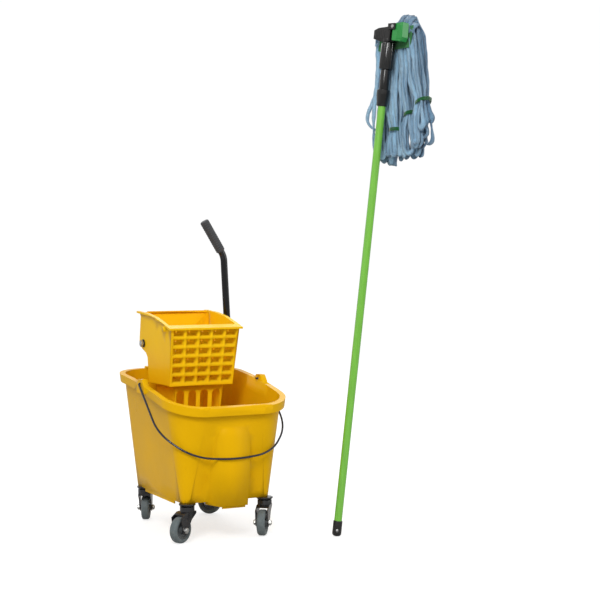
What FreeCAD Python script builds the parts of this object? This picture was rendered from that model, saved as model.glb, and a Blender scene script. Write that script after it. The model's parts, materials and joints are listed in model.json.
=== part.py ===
import FreeCAD, Part
import math
import os
import re

import Sketcher
from FreeCAD import Placement, Rotation, Vector

# Mop, castor bucket and side-press wringer. Millimetres, +Z up, the floor at Z = 0.
# The bucket's own axes: X across (the lever side is +X), Y from the pouring end (-Y) to the wringer (+Y).
# The frame's origin is the middle of the footprint, and bucket_x, bucket_y put the bucket in it.
DRIVING_SIZES = {
    "bucket_x": -159, "bucket_y": 108,
    # bucket shell
    "base_half_width": 138, "base_front": 178, "base_rear": 202, "base_corner": 20, "base_height": 108,
    "top_half_width": 190, "top_front": 256, "top_rear": 268, "top_corner": 118, "loft_top": 470,
    "shell_wall": 3.5, "rim_arc_radius": 2450, "rim_mid_height": 436, "rim_slope": 8.5,
    "rim_band": 25, "rim_flange": 14, "rim_web": 3, "skirt_depth": 9,
    "nose_half": 50, "nose_foot_half": 43, "nose_peak_half": 24, "nose_front": 226, "nose_flare": 20,
    "nose_shoulder": 296, "nose_height": 340,
    "lug_half_base": 30, "lug_half_top": 14, "lug_top": 452, "lug_inner": 184, "lug_thick": 17,
    # bail
    "bail_pivot_height": 440, "bail_half_width": 206, "bail_depth": 312, "bail_hang_angle": 41.4,
    "bail_radius": 3, "bail_hole_radius": 3.08, "bail_end": 176, "bail_end_bend": 4.5,
    # castors
    "castor_half_track": 123, "castor_front": 172, "castor_rear": 165, "castor_trail": 30,
    "tyre_radius": 37.5, "tyre_half_width": 12.5, "hub_radius": 26, "axle_radius": 5, "axle_bore": 5.06,
    "fork_half_inner": 16, "fork_half_outer": 19, "fork_top": 99, "king_pin_radius": 6, "king_pin_bore": 6.06,
    "swivel_rear_left": 62.6, "swivel_front_left": 207.5, "swivel_front_right": 232.6, "swivel_rear_right": 131,
    # wringer housing
    "foot_height": 428, "foot_half": 103.5, "foot_front": 12, "head_height": 650, "head_half": 113.5,
    "head_front": -32, "side_rear": 262, "side_wall": 4, "grid_depth": 22, "grid_plate": 4, "grid_rib": 8,
    "grid_columns": 5, "grid_rows": 6, "grid_first": 3, "grid_pitch": 28.6, "lip_width": 8, "lip_height": 6,
    "hopper_half": 82, "hopper_front": 33, "hopper_rear": 178, "hopper_height": 300, "hopper_taper": 12,
    "hook_half": 78, "hook_height": 463, "hook_reach": 286,
    # press mechanism
    "shaft_y": 212, "shaft_z": 544, "shaft_radius": 6, "shaft_bore": 6.06, "bush_radius": 9,
    "shaft_left": 121, "shaft_right": 196, "crank_length": 80, "crank_lean": 10, "crank_x": 54,
    "crank_thick": 8, "drive_pin_radius": 6, "cam_slot_radius": 6.4, "press_swing": 90, "press_ratio": 54.7,
    "plate_gap": 3, "plate_thick": 4, "plate_foot": 440, "plate_foot_y": 158, "plate_top": 642,
    "plate_top_y": 200, "cam_plate_x": 65, "cam_plate_thick": 12, "boss_radius": 14, "boss_end": 158,
    # lever
    "lever_x": 179, "lever_bend_x": 163.7, "lever_bend_z": 815, "lever_end_x": 96, "lever_end_z": 925,
    "lever_radius": 11, "lever_bore": 9.5, "lever_bend": 60, "grip_radius": 15, "grip_start": 18,
    "grip_length": 114, "socket_radius": 15.5, "socket_length": 62, "socket_floor": 24,
    # mop: its butt in the bucket's axes, and its own axis, from the butt upwards
    "mop_x": 291, "mop_y": -305, "mop_z": 0.63, "mop_turn": -27.4, "mop_tilt": 6.05,
    "handle_radius": 11.5, "handle_bore": 10.3, "handle_end": 1298, "butt_radius": 13.5, "butt_length": 45,
    "hang_hole_radius": 4, "hang_hole_height": 17, "collar_foot": 1258, "collar_top": 1306, "collar_radius": 19.5,
    "neck_radius": 14.3, "neck_top": 1366, "neck_stub": 10, "nut_bore": 10.06, "nut_top": 1445,
    "nut_radius": 20.5, "clamp_turn": -50, "clamp_foot": 1447, "clamp_top": 1488, "jaw_pivot_s": 28,
    "jaw_pivot_z": 1489, "band_near": 21.2, "band_far": 24.2,
}
FACE_TURNS = {
    "XY": Rotation(),
    "XZ": Rotation(Vector(1, 0, 0), 90),
    "YZ": Rotation(0.5, 0.5, 0.5, 0.5),
}
AXES = {"X": Vector(1, 0, 0), "Y": Vector(0, 1, 0), "Z": Vector(0, 0, 1)}
LONG = 700

doc = FreeCAD.newDocument("mop_and_bucket")
sheet = doc.addObject("Spreadsheet::Sheet", "Sizes")
sub_parts = []


def fill_sheet():
    for row, (alias, number) in enumerate(DRIVING_SIZES.items(), 1):
        sheet.set(f"A{row}", alias)
        sheet.set(f"B{row}", str(number))
        sheet.setAlias(f"B{row}", alias)
    doc.recompute()


def link(expression):
    """The expression with every alias written as a reference to the sheet."""
    return re.sub(r"\b[a-z]+(_[a-z]+)+\b", lambda found: "Sizes." + found.group(0), str(expression))


def size(expression):
    return float(sheet.evalExpression(link(expression)))


def bind(thing, **properties):
    for name, expression in properties.items():
        thing.setExpression(name, link(expression))
    return thing


def move(thing, x="0", y="0", z="0"):
    """Bind the thing's position to expressions."""
    for axis, expression in zip("xyz", (x, y, z)):
        thing.setExpression(f"Placement.Base.{axis}", link(expression))
    return thing


# ---- sketches -------------------------------------------------------------------------------------------


def pin_point(sketch, edge, end, point):
    """Hold one end of an edge at a pair of expressions, measured from the sketch's origin."""
    for kind, expression in zip(("DistanceX", "DistanceY"), point):
        number = sketch.addConstraint(Sketcher.Constraint(kind, -1, 1, edge, end, size(expression)))
        sketch.setExpression(f"Constraints[{number}]", link(expression))


def draw_polygon(sketch, points):
    first = len(sketch.Geometry)
    corners = [Vector(size(x), size(y), 0) for x, y in points]
    for start, stop in zip(corners, corners[1:] + corners[:1]):
        sketch.addGeometry(Part.LineSegment(start, stop))
    count = len(corners)
    for step in range(count):
        following = first + (step + 1) % count
        sketch.addConstraint(Sketcher.Constraint("Coincident", first + step, 2, following, 1))
        pin_point(sketch, first + step, 1, points[step])


def draw_circle(sketch, radius, x="0", y="0"):
    circle = Part.Circle(Vector(size(x), size(y), 0), Vector(0, 0, 1), size(radius))
    edge = sketch.addGeometry(circle)
    number = sketch.addConstraint(Sketcher.Constraint("Radius", edge, size(radius)))
    sketch.setExpression(f"Constraints[{number}]", link(radius))
    pin_point(sketch, edge, 3, (x, y))


def draw_rounded(sketch, half, front, rear, corner):
    """A rectangle from -half to half and from front to rear, with four corner arcs."""
    centres = [(f"{side}*(({half}) - ({corner}))", y) for side, y in (
        ("1", f"({rear}) - ({corner})"), ("-1", f"({rear}) - ({corner})"),
        ("-1", f"({front}) + ({corner})"), ("1", f"({front}) + ({corner})"))]
    radius = size(corner)
    for quarter, (x, y) in enumerate(centres):
        circle = Part.Circle(Vector(size(x), size(y), 0), Vector(0, 0, 1), radius)
        start = quarter * math.pi / 2
        sketch.addGeometry(Part.ArcOfCircle(circle, start, start + math.pi / 2))
    ends = [sketch.Geometry[quarter] for quarter in range(4)]
    for quarter in range(4):
        line = Part.LineSegment(ends[quarter].EndPoint, ends[(quarter + 1) % 4].StartPoint)
        edge = sketch.addGeometry(line)
        sketch.addConstraint(Sketcher.Constraint("Tangent", quarter, 2, edge, 1))
        sketch.addConstraint(Sketcher.Constraint("Tangent", edge, 2, (quarter + 1) % 4, 1))
    for quarter, centre in enumerate(centres):
        pin_point(sketch, quarter, 3, centre)
        number = sketch.addConstraint(Sketcher.Constraint("Radius", quarter, radius))
        sketch.setExpression(f"Constraints[{number}]", link(corner))


def free_sketch(name, plane="XY", turn=None):
    sketch = doc.addObject("Sketcher::SketchObject", name)
    sketch.Placement = Placement(Vector(), turn or FACE_TURNS[plane])
    return sketch


def body_sketch(body, name, plane, height="0"):
    """A sketch on one of the body's own origin planes, raised along the plane's normal."""
    sketch = body.newObject("Sketcher::SketchObject", name)
    support = [item for item in body.Origin.OriginFeatures if item.Role == f"{plane}_Plane"][0]
    sketch.AttachmentSupport = (support, [""])
    sketch.MapMode = "FlatFace"
    sketch.setExpression("AttachmentOffset.Base.z", link(height))
    return sketch


# ---- solids ---------------------------------------------------------------------------------------------


def polygon_prism(name, plane, points, low, high):
    """A polygon drawn on a plane, swept along that plane's world axis from low to high."""
    along = {"XY": "Z", "XZ": "Y", "YZ": "X"}[plane]
    sketch = free_sketch(name + "_outline", plane)
    draw_polygon(sketch, points)
    move(sketch, **{along.lower(): low})
    prism = doc.addObject("Part::Extrusion", name)
    prism.Base = sketch
    prism.DirMode = "Custom"
    prism.Dir = AXES[along]
    prism.Solid = True
    return bind(prism, LengthFwd=f"({high}) - ({low})")


def loft(name, lower, upper):
    thing = doc.addObject("Part::Loft", name)
    thing.Sections = [lower, upper]
    thing.Solid = True
    thing.Ruled = True
    return thing


def rounded_loft(name, grow, low="base_height"):
    """The bucket's tapered form, with its side surfaces moved outwards by grow."""
    lower = free_sketch(name + "_lower")
    draw_rounded(lower, f"base_half_width + ({grow})", f"-(base_front + ({grow}))",
                 f"base_rear + ({grow})", f"base_corner + ({grow})")
    upper = free_sketch(name + "_upper")
    draw_rounded(upper, f"top_half_width + ({grow})", f"-(top_front + ({grow}))",
                 f"top_rear + ({grow})", f"top_corner + ({grow})")
    return loft(name, move(lower, z=low), move(upper, z="loft_top"))


def box_loft(name, low, high):
    """A tapered box between two rectangles, each (half width, front, rear, height)."""
    outlines = []
    for level, (half, front, rear, height) in (("lower", low), ("upper", high)):
        sketch = free_sketch(f"{name}_{level}")
        draw_polygon(sketch, [(f"-({half})", front), (half, front), (half, rear), (f"-({half})", rear)])
        outlines.append(move(sketch, z=height))
    return loft(name, *outlines)


def box(name, x, y, z):
    thing = doc.addObject("Part::Box", name)
    bind(thing, Length=f"({x[1]}) - ({x[0]})", Width=f"({y[1]}) - ({y[0]})", Height=f"({z[1]}) - ({z[0]})")
    return move(thing, x[0], y[0], z[0])


def rod(name, axis, radius, span, centre=("0", "0")):
    """A cylinder along an axis over span, with centre in the two other axes, in X, Y, Z order."""
    thing = doc.addObject("Part::Cylinder", name)
    turns = {"X": Rotation(Vector(0, 1, 0), 90), "Y": Rotation(Vector(1, 0, 0), -90), "Z": Rotation()}
    thing.Placement = Placement(Vector(), turns[axis])
    bind(thing, Radius=radius, Height=f"({span[1]}) - ({span[0]})")
    place = list(centre)
    place.insert("XYZ".index(axis), span[0])
    return move(thing, *place)


def cut(name, base, tool):
    thing = doc.addObject("Part::Cut", name)
    thing.Base = base
    thing.Tool = tool
    return thing


def common(name, base, tool):
    thing = doc.addObject("Part::Common", name)
    thing.Base = base
    thing.Tool = tool
    return thing


def fuse(name, *things):
    thing = doc.addObject("Part::MultiFuse", name)
    thing.Shapes = list(things)
    return thing


def feature(name, shape):
    thing = doc.addObject("Part::Feature", name)
    thing.Shape = shape
    return thing


def turned(name, points):
    """A body revolved about its own Z axis from (radius, height) points."""
    body = doc.addObject("PartDesign::Body", name)
    sketch = body_sketch(body, name + "_profile", "XZ")
    draw_polygon(sketch, points)
    revolution = body.newObject("PartDesign::Revolution", name + "_turn")
    revolution.Profile = sketch
    revolution.ReferenceAxis = (sketch, ["V_Axis"])
    revolution.Angle = 360
    body.Tip = revolution
    return body


def padded(name, plane, points, length, height="0"):
    """A body padded from a polygon by length, half to each side of the plane at height."""
    body = doc.addObject("PartDesign::Body", name)
    sketch = body_sketch(body, name + "_outline", plane, height)
    draw_polygon(sketch, points)
    pad = body.newObject("PartDesign::Pad", name + "_pad")
    pad.Profile = sketch
    pad.Midplane = True
    body.Tip = bind(pad, Length=length)
    return body


def pocket(body, sketch, length):
    """Cut the sketch out of the body, half of length to each side of its plane."""
    doc.recompute()
    before = body.Shape.Volume
    thing = body.newObject("PartDesign::Pocket", sketch.Name + "_cut")
    thing.Profile = sketch
    thing.Midplane = True
    body.Tip = bind(thing, Length=length)
    doc.recompute()
    if body.Shape.Volume >= before:
        raise RuntimeError(f"{thing.Name} cuts nothing")
    return thing


def bend_through(points, radii):
    """A wire of straight runs, with a tangent arc of the given radius at each inner point."""
    edges = []
    start = points[0]
    for corner, following, radius in zip(points[1:-1], points[2:], radii):
        back = (start - corner).normalize()
        ahead = (following - corner).normalize()
        half_turn = (math.pi - back.getAngle(ahead)) / 2
        reach = radius * math.tan(half_turn)
        middle = (back + ahead).normalize()
        centre_gap = radius / math.cos(half_turn)
        first = corner + back * reach
        last = corner + ahead * reach
        edges.append(Part.LineSegment(start, first).toShape())
        edges.append(Part.Arc(first, corner + middle * (centre_gap - radius), last).toShape())
        start = last
    edges.append(Part.LineSegment(start, points[-1]).toShape())
    return Part.Wire(edges)


def pipe(path, radius):
    """A round rod of one radius along a wire."""
    start = path.Edges[0]
    circle = Part.Circle(start.valueAt(start.FirstParameter), start.tangentAt(start.FirstParameter), radius)
    return path.makePipeShell([Part.Wire(circle.toShape())], True, False)


# ---- naming and placing ---------------------------------------------------------------------------------


def keep(thing, label, x="0", y="0", z="0", turn=None):
    """Make the thing a sub-part: its label, and its place in the frame."""
    thing.Label = label
    if turn is not None:
        thing.Placement = Placement(thing.Placement.Base, turn)
    move(thing, f"bucket_x + ({x})", f"bucket_y + ({y})", z)
    sub_parts.append(thing)
    return thing


def keep_on_mop(thing, label, clamp=False):
    """Place a piece that was made along the mop's own axis, turned with the clamp where it is on it."""
    turn = Rotation(AXES["Z"], size("mop_turn")).multiply(Rotation(AXES["Y"], size("mop_tilt")))
    if clamp:
        turn = turn.multiply(Rotation(AXES["Z"], size("clamp_turn")))
    return keep(thing, label, "mop_x", "mop_y", "mop_z", turn)


# ---- bucket ---------------------------------------------------------------------------------------------


def rim_drum(name, drop):
    """A long drum whose top is the rim's gently arched line, lowered by drop."""
    return rod(name, "X", f"rim_arc_radius - ({drop})", (-LONG / 2, LONG / 2),
               ("rim_arc_radius * sin(rim_slope)", "rim_mid_height - rim_arc_radius * cos(rim_slope)"))


def nose_outline(widen):
    """The swelling's arched outline, from its foot up to its flat peak, in X and Z."""
    half = [("nose_foot_half", "base_height - skirt_depth"), ("nose_half", "nose_shoulder - 90"),
            ("nose_half", "nose_shoulder"), ("nose_half - 10", "nose_shoulder + 24"),
            ("nose_peak_half", f"nose_height + 0.6 * ({widen})")]
    right = [(f"({x}) + ({widen})", z) for x, z in half]
    return right + [(f"-({x})", z) for x, z in reversed(right)]


def nose(name, inset):
    """The upright swelling of the pouring end, which dies into the leaning wall at its top."""
    face = free_sketch(name + "_face", "XZ")
    draw_polygon(face, nose_outline(f"-{inset}"))
    root = free_sketch(name + "_root", "XZ")
    draw_polygon(root, nose_outline(f"nose_flare - {inset}"))
    return loft(name, move(root, y="-(base_front - 14)"), move(face, y=f"-(nose_front - {inset})"))


def lug(side):
    """One upstanding ear with the hole that a bail end turns in."""
    name = "lug_right" if side > 0 else "lug_left"
    low, high = ("lug_inner", "lug_inner + lug_thick") if side > 0 else ("-(lug_inner + lug_thick)", "-lug_inner")
    foot = "rim_mid_height - rim_band"
    ear = polygon_prism(name + "_ear", "YZ", [
        ("-lug_half_base", foot), ("lug_half_base", foot), ("lug_half_base", "rim_mid_height + 2"),
        ("lug_half_top", "lug_top"), ("-lug_half_top", "lug_top"), ("-lug_half_base", "rim_mid_height - 3")],
        low, high)
    hole = rod(name + "_hole", "X", "bail_hole_radius", (f"({low}) - 1", f"({high}) + 1"),
               ("0", "bail_pivot_height"))
    return ear, hole


def make_bucket_shell():
    drum = rim_drum("rim_top", "0")
    cup = common("cup", fuse("cup_mass", rounded_loft("cup_loft", "0"), nose("nose", "0")), drum)
    slab = cut("rim_slab", common("rim_mass", rounded_loft("rim_loft", "rim_flange"), drum),
               rim_drum("rim_foot", "rim_band"))
    hollow = common("rim_hollow", rounded_loft("rim_inside", "rim_flange - rim_web"), rim_drum("web_foot", "rim_web"))
    rim = cut("rim", slab, hollow)
    skirts = [
        box("skirt_left", ("-base_half_width", "-(base_half_width - shell_wall)"), ("-110", "122"),
            ("base_height - skirt_depth", "base_height")),
        box("skirt_right", ("base_half_width - shell_wall", "base_half_width"), ("-110", "122"),
            ("base_height - skirt_depth", "base_height")),
        box("skirt_rear", ("-74", "74"), ("base_rear - shell_wall", "base_rear"),
            ("base_height - skirt_depth", "base_height")),
        box("nose_foot", ("-36", "36"), ("-(nose_front - 2)", "-(nose_front - 6)"),
            ("base_height - skirt_depth - 6", "base_height"))]
    (ear_left, hole_left), (ear_right, hole_right) = lug(-1), lug(1)
    mass = fuse("shell_mass", cup, rim, ear_left, ear_right, *skirts)
    inside = rounded_loft("cup_inside", "-shell_wall", "base_height + shell_wall")
    above_base = box("above_base", (-LONG / 2, LONG / 2), (-LONG / 2, LONG / 2),
                     ("base_height - skirt_depth + shell_wall", "loft_top"))
    nose_hollow = common("nose_hollow", nose("nose_inside", "shell_wall"), above_base)
    hollows = fuse("shell_hollows", inside, nose_hollow, hole_left, hole_right)
    keep(cut("shell", mass, hollows), "bucket_shell")


def make_bail():
    """A wire bow in one plane: turned-in ends, two arms and a shallow curved foot."""
    half, depth, end = size("bail_half_width"), size("bail_depth"), size("bail_end")
    flat = [(-end, 0), (-half, 0), (-half + 3, 0.64 * depth), (-0.6 * half, 0.95 * depth), (0, depth),
            (0.6 * half, 0.95 * depth), (half - 3, 0.64 * depth), (half, 0), (end, 0)]
    angle = math.radians(size("bail_hang_angle"))
    points = [Vector(across, -down * math.cos(angle), -down * math.sin(angle)) for across, down in flat]
    end_bend = size("bail_end_bend")
    path = bend_through(points, [end_bend, 150, 140, 400, 140, 150, end_bend])
    keep(feature("bail_wire", pipe(path, size("bail_radius"))), "bail", z="bail_pivot_height")


# ---- castors --------------------------------------------------------------------------------------------


def castor_fork(name):
    """The swivelling yoke: a raceway drum on a pressed fork that hangs over the wheel."""
    fork = padded(name, "XZ", [
        ("-18", "fork_top - 12"), ("24", "fork_top - 12"), ("48", "74"), ("castor_trail + 11", "tyre_radius - 8"),
        ("castor_trail + 2", "tyre_radius - 12"), ("castor_trail - 10", "tyre_radius - 6"), ("2", "64"),
        ("-18", "80")], "2 * fork_half_outer")
    gap = body_sketch(fork, name + "_gap", "XZ")
    draw_polygon(gap, [("-40", "0"), ("90", "0"), ("90", "80"), ("-40", "80")])
    pocket(fork, gap, "2 * fork_half_inner")
    race = body_sketch(fork, name + "_race", "XY", "fork_top - 12")
    draw_circle(race, "21")
    drum = fork.newObject("PartDesign::Pad", name + "_drum")
    drum.Profile = race
    fork.Tip = bind(drum, Length="12")
    bore = body_sketch(fork, name + "_bore", "XY", "fork_top")
    draw_circle(bore, "king_pin_bore")
    pocket(fork, bore, "80")
    eye = body_sketch(fork, name + "_eye", "XZ")
    draw_circle(eye, "axle_bore", "castor_trail", "tyre_radius")
    pocket(fork, eye, "4 * fork_half_outer")
    return fork


def castor_head(name):
    """The fixed top: a mounting plate with the king pin that the fork turns on, headed below it."""
    return turned(name, [
        ("0", "fork_top - 22.5"), ("9", "fork_top - 22.5"), ("9", "fork_top - 19.5"),
        ("king_pin_radius", "fork_top - 19.5"),
        ("king_pin_radius", "fork_top + 0.5"), ("18", "fork_top + 0.5"), ("24", "base_height - 4"),
        ("24", "base_height"), ("0", "base_height")])


def castor_hub(name):
    """A plastic wheel centre with a thin web, bored for the axle."""
    return turned(name, [
        ("axle_bore", "-15"), ("10", "-15"), ("12", "-6"), ("20", "-6"), ("22", "-10"), ("hub_radius", "-10"),
        ("hub_radius", "10"), ("22", "10"), ("20", "6"), ("12", "6"), ("10", "15"), ("axle_bore", "15")])


def castor_tyre(name):
    return turned(name, [
        ("hub_radius", "-11"), ("30", "-tyre_half_width"), ("tyre_radius - 3", "-(tyre_half_width - 1.5)"),
        ("tyre_radius", "-(tyre_half_width - 5)"), ("tyre_radius", "tyre_half_width - 5"),
        ("tyre_radius - 3", "tyre_half_width - 1.5"), ("30", "tyre_half_width"), ("hub_radius", "11")])


def castor_axle(name):
    """The axle bolt, with a hexagon outside each fork cheek."""
    shank = rod(name + "_shank", "Z", "axle_radius", ("-27", "27"))
    heads = []
    for end, low in (("near", "fork_half_outer + 0.2"), ("far", "-(fork_half_outer + 6.2)")):
        head = doc.addObject("Part::Prism", f"{name}_{end}")
        head.Polygon = 6
        head.Circumradius = 8.5
        head.Height = 6
        heads.append(move(head, z=low))
    return fuse(name, shank, *heads)


def make_castor(corner, x, y, swivel):
    """One swivel castor: its local X runs from the king pin to the axle."""
    name = f"castor_{corner}"
    yaw = Rotation(AXES["Z"], size(swivel))
    keep(castor_head(name + "_head"), name + "_top_plate", x, y, turn=yaw)
    keep(castor_fork(name + "_yoke"), name + "_fork", x, y, turn=yaw)
    axle_x = f"({x}) + castor_trail * cos({swivel})"
    axle_y = f"({y}) + castor_trail * sin({swivel})"
    rolling = yaw.multiply(Rotation(AXES["X"], 90))
    for maker, piece in ((castor_hub, "hub"), (castor_tyre, "tyre"), (castor_axle, "axle")):
        keep(maker(f"{name}_{piece}_solid"), f"{name}_{piece}", axle_x, axle_y, "tyre_radius", rolling)


# ---- wringer housing ------------------------------------------------------------------------------------


def side_outline():
    """The side panels' outline in Y and Z: arched top, overhanging ear and stepped-in lower half."""
    return [("-60", "foot_height"), ("-60", "598"), ("-23", "602"), ("16", "613"), ("84", "629"), ("154", "639"),
            ("243", "644"), ("229", "628"), ("251", "543"), ("228", "526"), ("198", "516"), ("185", "503"),
            ("182", "foot_height")]


def lip_outline():
    """The outward lip: a strip under the side panels' arched top edge."""
    top = [("-60", "598"), ("-23", "602"), ("16", "613"), ("84", "629"), ("154", "639"), ("243", "644")]
    return top + [(y, f"({z}) - lip_height") for y, z in reversed(top)]


def grid_lean():
    """How far the front panel leans from upright, in degrees."""
    return math.degrees(math.atan2(size("foot_front - head_front"), size("head_height - foot_height")))


def grid_half(rise):
    """The panel's half width at a distance up its face."""
    slope = size("head_half - foot_half") / size("head_height - foot_height")
    return size("foot_half") + slope * rise


def grid_cell(column, row):
    """One square recess of the front panel, as a prism sunk into its leaning face."""
    rib, depth = size("grid_rib"), size("grid_depth")
    low = size("grid_first") + row * size("grid_pitch") + rib / 2
    high = low + size("grid_pitch") - rib
    corners = []
    for rise, order in ((low, (column, column + 1)), (high, (column + 1, column))):
        for edge in order:
            shift = rib / 2 if edge == column else -rib / 2
            across = (2 * edge / size("grid_columns") - 1) * (grid_half(rise) - rib / 2) + shift
            corners.append(Vector(across, rise, 1))
    return Part.Face(Part.makePolygon(corners + corners[:1])).extrude(Vector(0, 0, -depth - 1))


def grid_cutters():
    """Every recess of the front panel, with a drain hole through the plate behind each."""
    rows, columns = range(int(size("grid_rows"))), range(int(size("grid_columns")))
    cutters = [grid_cell(column, row) for column in columns for row in rows]
    drain_radius, deep = 3, size("grid_depth + grid_plate") + 6
    for cell in list(cutters):
        middle = cell.CenterOfMass
        cutters.append(Part.makeCylinder(drain_radius, deep, Vector(middle.x, middle.y, -deep)))
    shape = Part.makeCompound(cutters)
    turn = Rotation(AXES["X"], 90 + grid_lean())
    shape.Placement = Placement(Vector(0, size("foot_front"), size("foot_height")), turn)
    return feature("grid_cutters", shape)


def drain_slots():
    """Four arch-topped slots in the hopper's front wall."""
    slots = []
    half_width, pitch, low, high = 13, 39, 345, 397
    for number in range(4):
        x = (number - 1.5) * pitch
        upright = Part.makeBox(2 * half_width, 30, high - low, Vector(x - half_width, 20, low))
        arch = Part.makeCylinder(half_width, 30, Vector(x, 20, high), Vector(0, 1, 0))
        slots.append(upright.fuse(arch))
    return feature("drain_slots", Part.makeCompound(slots))


def make_housing():
    foot = ("foot_half", "foot_front", "side_rear", "foot_height")
    head = ("head_half", "head_front", "side_rear", "head_height")
    outer = common("housing_mass", box_loft("housing_loft", foot, head),
                   polygon_prism("side_profile", "YZ", side_outline(), -150, 150))
    lip_loft = box_loft(
        "lip_loft", ("foot_half + lip_width", "foot_front - lip_width", "243", "foot_height"),
        ("head_half + lip_width", "head_front - lip_width", "243", "head_height"))
    lip = common("lip", lip_loft, polygon_prism("lip_profile", "YZ", lip_outline(), -150, 150))
    behind = "grid_depth + grid_plate"
    chamber = box_loft(
        "chamber", ("foot_half - side_wall", f"foot_front + {behind}", "300", "foot_height - 1"),
        ("head_half - side_wall", f"head_front + {behind}", "300", "head_height + 1"))
    ledge = box("ledge", ("-foot_half", "foot_half"), ("foot_front", "182"), ("foot_height - 3", "foot_height + 1"))
    rear_wall = box("rear_wall", ("-foot_half", "foot_half"), ("178", "182"), ("foot_height", "505"))
    hook = box("hook", ("-hook_half", "hook_half"), ("180", "hook_reach"), ("hook_height", "hook_height + 4"))
    hook_lip = box("hook_lip", ("-hook_half", "hook_half"), ("hook_reach - 3.5", "hook_reach"),
                   ("hook_height - 24", "hook_height + 2"))
    latch = box("latch", ("-118", "-108"), ("16", "38"), ("590", "606"))
    boss = rod("boss", "X", "boss_radius", ("106", "boss_end"), ("shaft_y", "shaft_z"))
    hopper = box_loft(
        "hopper", ("hopper_half - hopper_taper", "hopper_front + hopper_taper", "hopper_rear - hopper_taper",
                   "hopper_height"), ("hopper_half", "hopper_front", "hopper_rear", "foot_height"))
    wall = "shell_wall"
    hopper_inside = box_loft(
        "hopper_inside", (f"hopper_half - hopper_taper - {wall}", f"hopper_front + hopper_taper + {wall}",
                          f"hopper_rear - hopper_taper - {wall}", f"hopper_height + {wall}"),
        (f"hopper_half - {wall}", f"hopper_front + {wall}", f"hopper_rear - {wall}", "foot_height + 2"))
    shell = cut("housing_shell", fuse("housing_walls", outer, lip), chamber)
    mass = fuse("housing_parts", shell, ledge, rear_wall, hook, hook_lip, latch, boss, hopper)
    shaft_holes = rod("shaft_holes", "X", "bush_radius", ("-130", "boss_end + 1"), ("shaft_y", "shaft_z"))
    floor_holes = [rod(f"floor_hole_{number}", "Z", "9", ("hopper_height - 2", "hopper_height + 8"),
                       (str(36 * (number % 3) - 36), str(75 + 30 * (number // 3)))) for number in range(9)]
    cutters = fuse("housing_cutters", hopper_inside, shaft_holes, *floor_holes)
    grid = cut("housing_with_grid", cut("housing_open", mass, cutters), grid_cutters())
    keep(cut("housing", grid, drain_slots()), "wringer_housing")


# ---- press mechanism ------------------------------------------------------------------------------------


def drive_pin_place(swing):
    """Where the drive pin is on the press plate: the crank's own swing, less the plate's travel."""
    crank = swing - math.radians(size("crank_lean"))
    y = size("shaft_y") - size("crank_length") * math.sin(crank) + size("press_ratio") * swing
    return Vector(0, y, size("shaft_z") + size("crank_length") * math.cos(crank))


def cam_slot():
    """The two curved slots of the press plate, one for each drive pin, with round ends."""
    steps, cap_steps, radius = 40, 8, size("cam_slot_radius")
    top_swing = math.radians(size("press_swing"))
    centres = [drive_pin_place(top_swing * step / steps) for step in range(steps + 1)]
    along = [(after - before).normalize() for before, after in zip(centres[:-1], centres[1:])]
    along.append(along[-1])
    across = [AXES["X"].cross(tangent) for tangent in along]
    above = [centre + side * radius for centre, side in zip(centres, across)]
    below = [centre - side * radius for centre, side in zip(centres, across)]
    caps = {}
    for end, sign in ((-1, 1), (0, -1)):
        angles = [math.pi * step / cap_steps for step in range(1, cap_steps)]
        caps[end] = [centres[end] + (across[end] * math.cos(angle) + along[end] * math.sin(angle)) * sign * radius
                     for angle in angles]
    outline = above + caps[-1] + below[::-1] + caps[0]
    start = -size("cam_plate_x + cam_plate_thick") - 1
    face = Part.Face(Part.makePolygon(outline + outline[:1]))
    face.translate(Vector(start, 0, 0))
    return feature("cam_slots", face.extrude(Vector(-2 * start, 0, 0)))


def make_press_plate():
    """A leaning pusher with forward side returns, a rolled top edge and two slotted cam plates behind it."""
    gap, thick = "plate_gap", "plate_thick"

    def tapered(name, inset):
        return box_loft(name, (f"foot_half - side_wall - {inset}", "40", "300", "foot_height - 1"),
                        (f"head_half - side_wall - {inset}", "40", "300", "head_height + 1"))

    outside = polygon_prism("plate_profile", "YZ", [
        ("plate_foot_y - 18", "plate_foot"), ("plate_top_y - 42", "612"), ("plate_top_y - 5", "plate_top"),
        ("plate_top_y + plate_thick", "plate_top"), ("plate_foot_y + plate_thick", "plate_foot")], -150, 150)
    inside = polygon_prism("plate_front", "YZ", [
        ("60", "plate_foot - 10"), ("plate_foot_y - 2.08", "plate_foot - 10"),
        ("plate_top_y + 2.08", "plate_top + 10"), ("60", "plate_top + 10")], -150, 150)
    channel = cut("plate_channel", common("plate_mass", tapered("plate_taper", gap), outside),
                  common("plate_hollow", tapered("plate_inner_taper", f"{gap} + {thick}"), inside))
    roll = polygon_prism("plate_roll", "YZ", [
        ("plate_top_y - 6", "plate_top - 4"), ("plate_top_y + 8", "plate_top - 4"),
        ("plate_top_y + 8", "plate_top + 2"), ("plate_top_y - 6", "plate_top + 2")], -99, 99)
    cams = []
    for side, low, high in (("left", "-(cam_plate_x + cam_plate_thick)", "-cam_plate_x"),
                            ("right", "cam_plate_x", "cam_plate_x + cam_plate_thick")):
        cams.append(polygon_prism(f"cam_{side}", "YZ", [
            ("184", "shaft_z + 8.5"), ("240", "shaft_z + 8.5"), ("233", "600"), ("244", "626"), ("240", "640"),
            ("202", "640")], low, high))
    rib = [polygon_prism(f"plate_rib_{number}", "YZ", [
        ("plate_foot_y + 2", "plate_foot + 6"), ("plate_foot_y + 14", "plate_foot + 6"),
        ("plate_foot_y + 20", "shaft_z - 20"), ("184", "shaft_z + 40")],
        str(45 * number - 92), str(45 * number - 88)) for number in range(5)]
    mass = fuse("plate_parts", channel, roll, *cams, *rib)
    keep(cut("press_plate_solid", mass, cam_slot()), "press_plate")


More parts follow.
